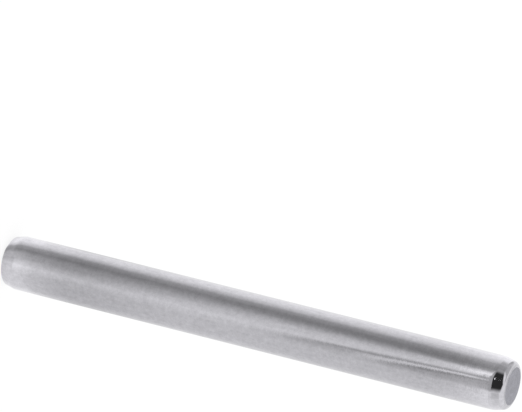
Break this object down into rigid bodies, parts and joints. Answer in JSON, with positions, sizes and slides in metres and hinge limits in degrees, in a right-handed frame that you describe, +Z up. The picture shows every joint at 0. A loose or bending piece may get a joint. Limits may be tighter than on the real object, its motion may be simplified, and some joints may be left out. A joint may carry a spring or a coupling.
{
  "type": "axle shaft",
  "caption": "Plain round ground steel axle shaft with a tapered, rounded lead-in and a flat face at each end, to carry a wheel, roller or bearing.",
  "frame": {"origin": "centre of the lower end face, which the shaft stands on", "axes": "+Z up along the shaft's axis, X and Y across it"},
  "size_m": [0.008, 0.008, 0.08],
  "materials": {
    "ground_steel": "bright ground and tumbled steel on the diameter and the lead-ins, satin turned end faces"
  },
  "bodies": {
    "root": {"shaft": "ground_steel"}
  },
  "joints": []
}
